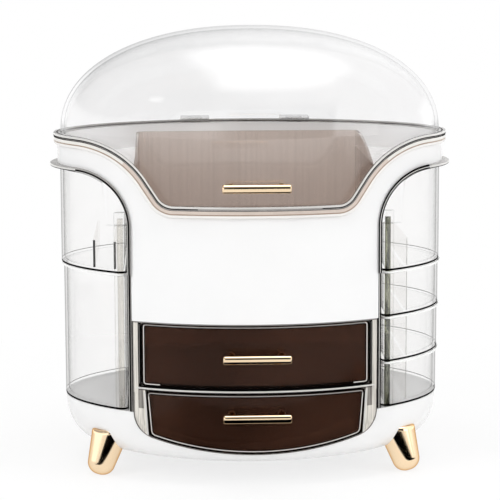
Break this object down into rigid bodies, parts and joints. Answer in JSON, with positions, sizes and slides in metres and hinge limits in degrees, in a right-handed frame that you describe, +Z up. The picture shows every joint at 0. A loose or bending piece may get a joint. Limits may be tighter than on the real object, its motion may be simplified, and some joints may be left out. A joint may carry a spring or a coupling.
{
  "type": "makeup organizer",
  "caption": "Oval domed vanity organizer with a hinged clear lid, front drawers with bar handles, swing-out side trays, a central well and splayed feet",
  "frame": {"origin": "on the table, at the middle of the whole object's width and depth", "axes": "+X to the right of someone facing the drawers, +Y to the rear hinges, +Z up"},
  "size_m": [0.3168, 0.248, 0.346],
  "materials": {
    "white_plastic": "polished white moulding",
    "clear_plastic": "clear polished plastic",
    "smoke_plastic": "smoke grey transparent plastic",
    "taupe_plastic": "warm grey translucent plastic",
    "pale_gold": "satin pale gold plating",
    "steel": "plain turned steel"
  },
  "bodies": {
    "housing": {"upper_shell": "white_plastic", "rim_trim": "clear_plastic", "back_panel": "white_plastic", "shelf_well": "white_plastic", "well_insert": "taupe_plastic", "left_liner": "clear_plastic", "right_liner": "clear_plastic", "base_pan": "white_plastic", "base_deck": "white_plastic", "front_left_foot": "pale_gold", "front_right_foot": "pale_gold", "rear_left_foot": "pale_gold", "rear_right_foot": "pale_gold", "foot_screws": "steel", "drawer_bay": "smoke_plastic", "left_tray_pin": "smoke_plastic", "right_tray_pin": "smoke_plastic", "left_hinge_bracket": "clear_plastic", "right_hinge_bracket": "clear_plastic", "left_hinge_pin": "steel", "right_hinge_pin": "steel"},
    "lid": {"lid_dome": "clear_plastic", "lid_handle": "pale_gold", "lid_handle_screws": "steel", "left_hinge_leaf": "clear_plastic", "right_hinge_leaf": "clear_plastic"},
    "upper_drawer_unit": {"upper_drawer": "smoke_plastic", "upper_drawer_handle": "pale_gold", "upper_drawer_handle_screws": "steel"},
    "lower_drawer_unit": {"lower_drawer": "smoke_plastic", "lower_drawer_handle": "pale_gold", "lower_drawer_handle_screws": "steel"},
    "left_upper_unit": {"left_upper_tray": "smoke_plastic", "left_upper_tray_dividers": "smoke_plastic"},
    "left_lower_unit": {"left_lower_tray": "smoke_plastic", "left_lower_tray_divider": "smoke_plastic"},
    "right_unit_1": {"right_tray_1": "smoke_plastic", "right_tray_1_divider": "smoke_plastic"},
    "right_unit_2": {"right_tray_2": "smoke_plastic", "right_tray_2_divider": "smoke_plastic"},
    "right_unit_3": {"right_tray_3": "smoke_plastic", "right_tray_3_divider": "smoke_plastic"},
    "right_unit_4": {"right_tray_4": "smoke_plastic", "right_tray_4_divider": "smoke_plastic"}
  },
  "joints": [
    {"name": "lid_hinge", "type": "hinge", "parent": "housing", "child": "lid", "pos_m": [0, 0.1202, 0.2618], "axis": [-1, 0, 0], "range_deg": [0, 100]},
    {"name": "upper_drawer_slide", "type": "slide", "parent": "housing", "child": "upper_drawer_unit", "axis": [0, -1, 0], "range_m": [0, 0.13]},
    {"name": "lower_drawer_slide", "type": "slide", "parent": "housing", "child": "lower_drawer_unit", "axis": [0, -1, 0], "range_m": [0, 0.13]},
    {"name": "left_upper_swing", "type": "hinge", "parent": "housing", "child": "left_upper_unit", "pos_m": [-0.1023, -0.07272, 0.2], "axis": [0, 0, 1], "range_deg": [0, 90]},
    {"name": "left_lower_swing", "type": "hinge", "parent": "housing", "child": "left_lower_unit", "pos_m": [-0.1023, -0.07272, 0.1], "axis": [0, 0, 1], "range_deg": [0, 90]},
    {"name": "right_swing_1", "type": "hinge", "parent": "housing", "child": "right_unit_1", "pos_m": [0.1023, -0.07272, 0.1809], "axis": [0, 0, -1], "range_deg": [0, 90]},
    {"name": "right_swing_2", "type": "hinge", "parent": "housing", "child": "right_unit_2", "pos_m": [0.1023, -0.07272, 0.1456], "axis": [0, 0, -1], "range_deg": [0, 90]},
    {"name": "right_swing_3", "type": "hinge", "parent": "housing", "child": "right_unit_3", "pos_m": [0.1023, -0.07272, 0.1103], "axis": [0, 0, -1], "range_deg": [0, 90]},
    {"name": "right_swing_4", "type": "hinge", "parent": "housing", "child": "right_unit_4", "pos_m": [0.1023, -0.07272, 0.075], "axis": [0, 0, -1], "range_deg": [0, 90]}
  ]
}
